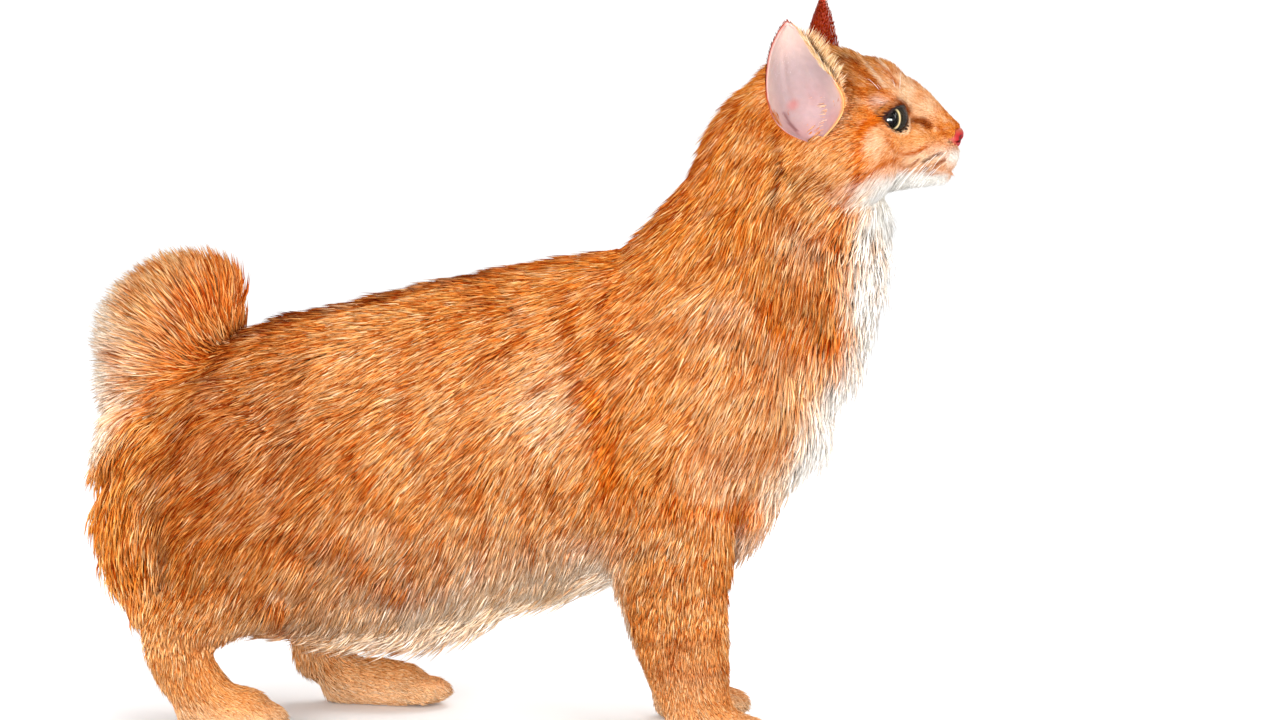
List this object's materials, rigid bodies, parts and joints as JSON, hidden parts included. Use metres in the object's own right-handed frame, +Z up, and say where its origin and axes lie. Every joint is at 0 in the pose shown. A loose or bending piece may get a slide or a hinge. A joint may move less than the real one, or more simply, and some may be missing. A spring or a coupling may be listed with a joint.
{
  "type": "kurilian bobtail cat",
  "caption": "Life-size standing cat with a long sloping back, raised head, upright cupped ears, full breeches and a short pompom tail; a still model on its own four paws.",
  "frame": {"origin": "middle of the whole cat's footprint, on the floor under it", "axes": "+X the way the cat faces, +Y to its left side, +Z up from the floor"},
  "size_m": [0.4903, 0.1397, 0.4061],
  "materials": {
    "coat": "soft orange tabby fur",
    "tail_coat": "long soft golden fur with pale tips",
    "ear_skin": "bare pink skin inside, short fur outside",
    "nose_leather": "damp satin",
    "eye": "wet gloss"
  },
  "bodies": {
    "root": {"head": "coat", "nose": "nose_leather", "eye_left": "eye", "eye_right": "eye", "ear_left": "ear_skin", "ear_right": "ear_skin", "neck": "coat", "chest": "coat", "abdomen": "coat", "foreleg_left_upper": "coat", "foreleg_left_forearm": "coat", "foreleg_left_paw": "coat", "foreleg_right_upper": "coat", "foreleg_right_forearm": "coat", "foreleg_right_paw": "coat", "hindleg_left_thigh": "coat", "hindleg_left_hock": "coat", "hindleg_left_foot": "coat", "hindleg_right_thigh": "coat", "hindleg_right_hock": "coat", "hindleg_right_foot": "coat", "tail": "tail_coat"}
  },
  "joints": []
}
